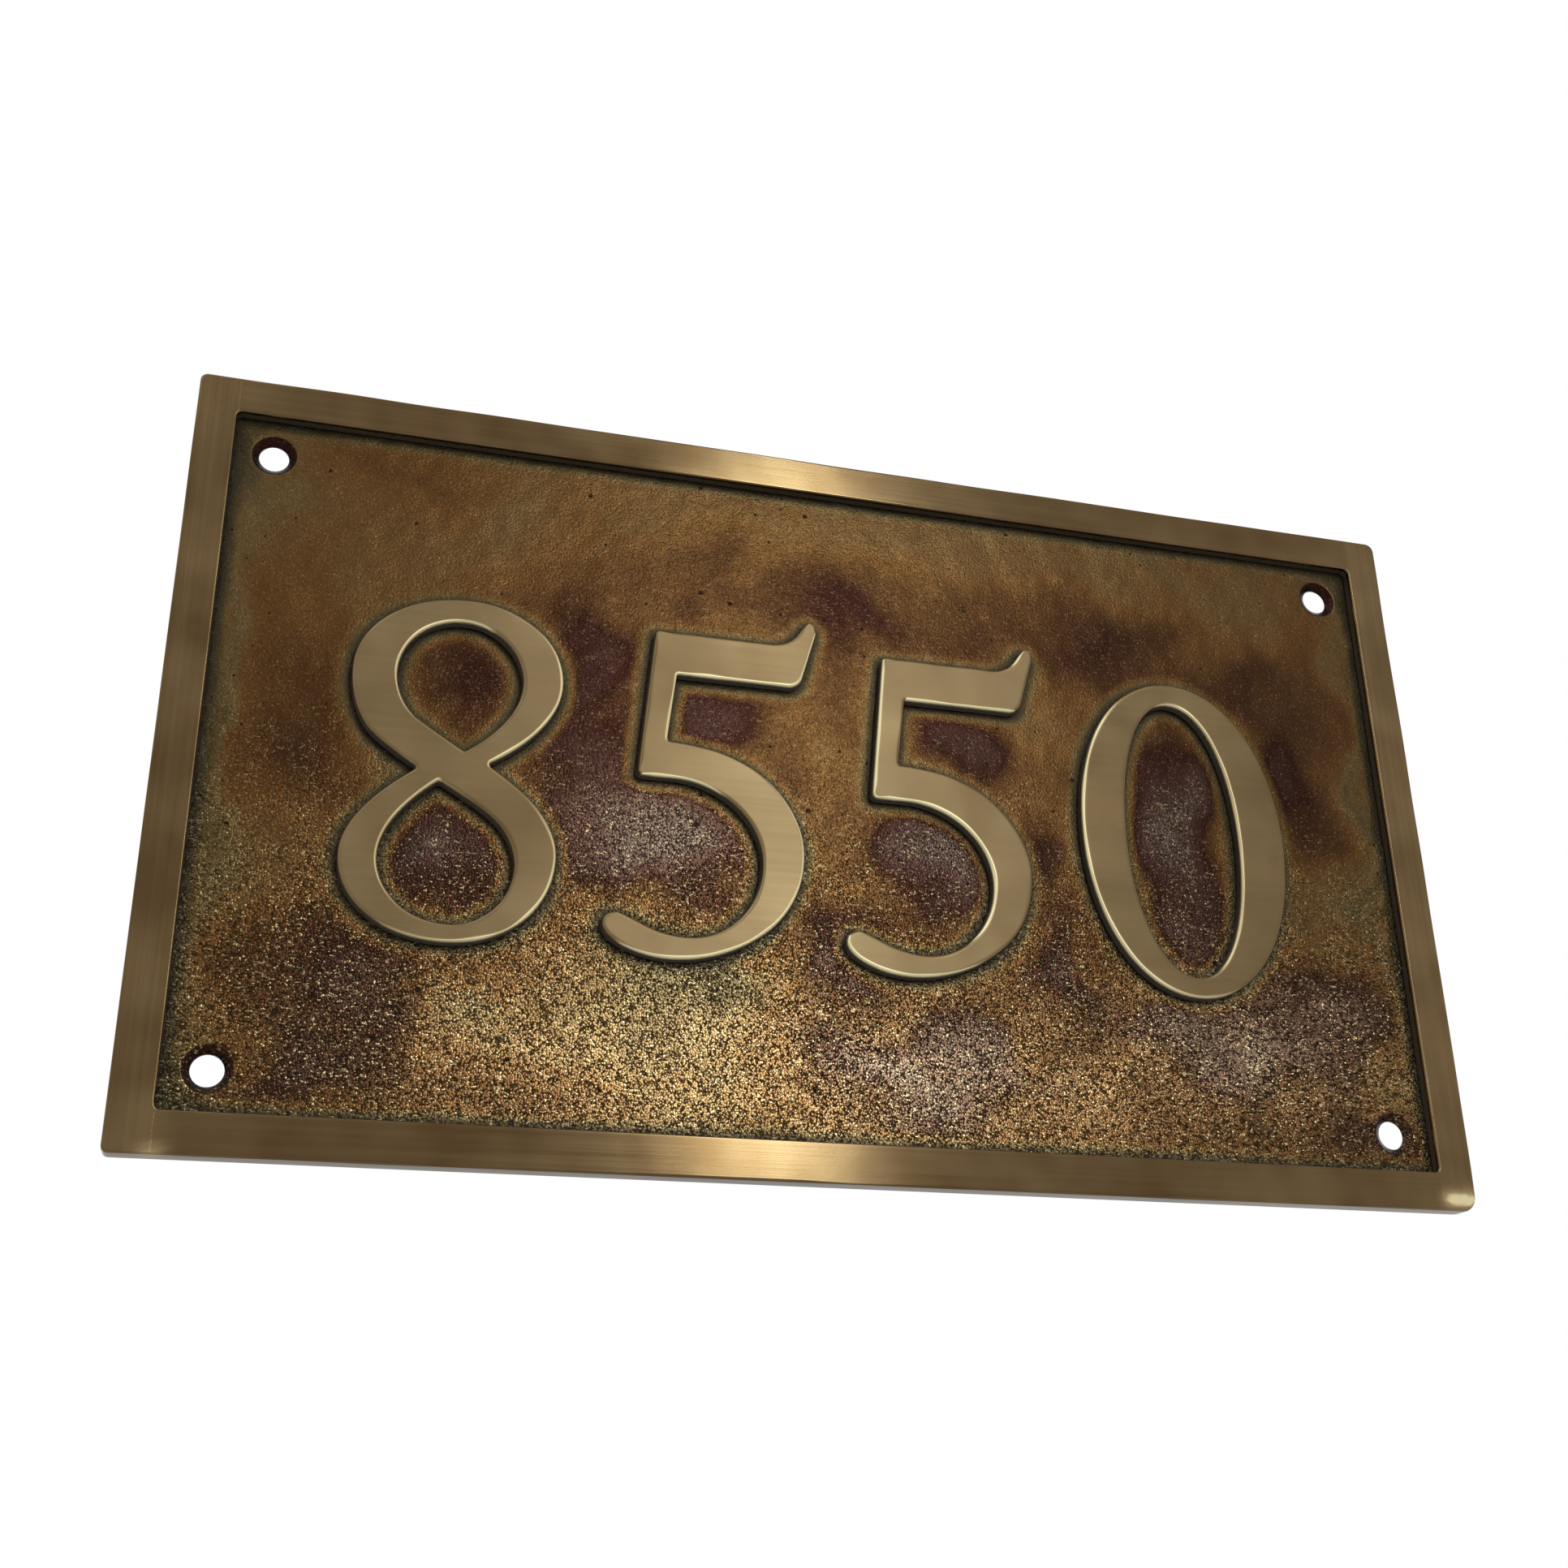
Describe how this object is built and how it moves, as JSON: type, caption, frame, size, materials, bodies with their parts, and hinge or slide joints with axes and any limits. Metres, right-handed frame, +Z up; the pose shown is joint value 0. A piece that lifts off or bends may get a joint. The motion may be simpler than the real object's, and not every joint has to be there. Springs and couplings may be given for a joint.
{
  "type": "house number plaque",
  "caption": "Flat brass wall plaque with a raised border, raised serif numerals and countersunk screw holes at its corners.",
  "frame": {"origin": "centre of the flat back face", "axes": "+X to the reader's right, +Z up as the plaque hangs, -Y out of the face towards the reader"},
  "size_m": [0.216, 0.0034, 0.127],
  "materials": {
    "antique_brass": "satin brushed border and numerals, sandy flame-patinated field"
  },
  "bodies": {
    "root": {"plaque": "antique_brass"}
  },
  "joints": []
}
